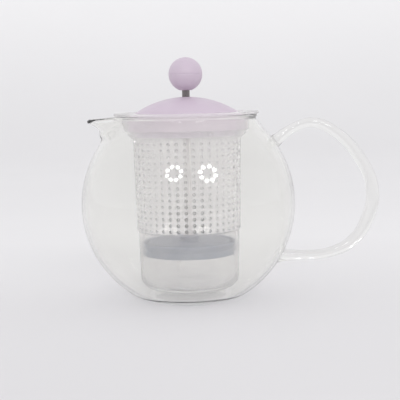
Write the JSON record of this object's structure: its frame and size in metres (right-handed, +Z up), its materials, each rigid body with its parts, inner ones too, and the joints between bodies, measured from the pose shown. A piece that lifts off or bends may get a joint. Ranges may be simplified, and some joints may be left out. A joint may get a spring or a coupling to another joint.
{
  "type": "teapot",
  "caption": "Round glass teapot with a spout, a ring handle, a lift-out clear infuser, a domed lid and a plunger on a rod with a ball knob.",
  "frame": {"origin": "centre of the base, on the surface that the pot stands on", "axes": "+Z up along the globe's axis, +X towards the handle, -X towards the spout"},
  "size_m": [0.1956, 0.14, 0.1578],
  "materials": {
    "clear_glass": "blown borosilicate glass, polished",
    "clear_plastic": "clear moulded polycarbonate, slightly scuffed",
    "lilac_plastic": "satin moulded plastic",
    "liner_plastic": "matt moulded plastic",
    "steel": "drawn stainless rod",
    "brass_insert": "machined",
    "plunger_plastic": "matt moulded plastic",
    "seal_rubber": "translucent silicone"
  },
  "bodies": {
    "pot": {"glass_bowl": "clear_glass", "glass_shoulder": "clear_glass", "glass_handle": "clear_glass"},
    "infuser": {"infuser_collar": "clear_plastic", "infuser_sleeve": "clear_plastic", "infuser_cup": "clear_plastic"},
    "lid": {"lid_dome": "lilac_plastic", "lid_liner": "liner_plastic"},
    "plunger": {"plunger_rod": "steel", "knob_insert": "brass_insert", "knob_ball": "lilac_plastic"},
    "press_disc": {"plunger_disc": "plunger_plastic", "plunger_seal": "seal_rubber", "disc_insert": "brass_insert"}
  },
  "joints": [
    {"name": "infuser_lift", "type": "slide", "parent": "pot", "child": "infuser", "axis": [0, 0, 1], "range_m": [0, 0.13]},
    {"name": "lid_lift", "type": "slide", "parent": "infuser", "child": "lid", "axis": [0, 0, 1], "range_m": [0, 0.11]},
    {"name": "plunger_press", "type": "slide", "parent": "lid", "child": "plunger", "axis": [0, 0, 1], "range_m": [-0.0033, 0.062]},
    {"name": "disc_unscrew", "type": "hinge", "parent": "plunger", "child": "press_disc", "pos_m": [0, 0, 0.0337], "axis": [0, 0, 1], "continuous": true}
  ]
}
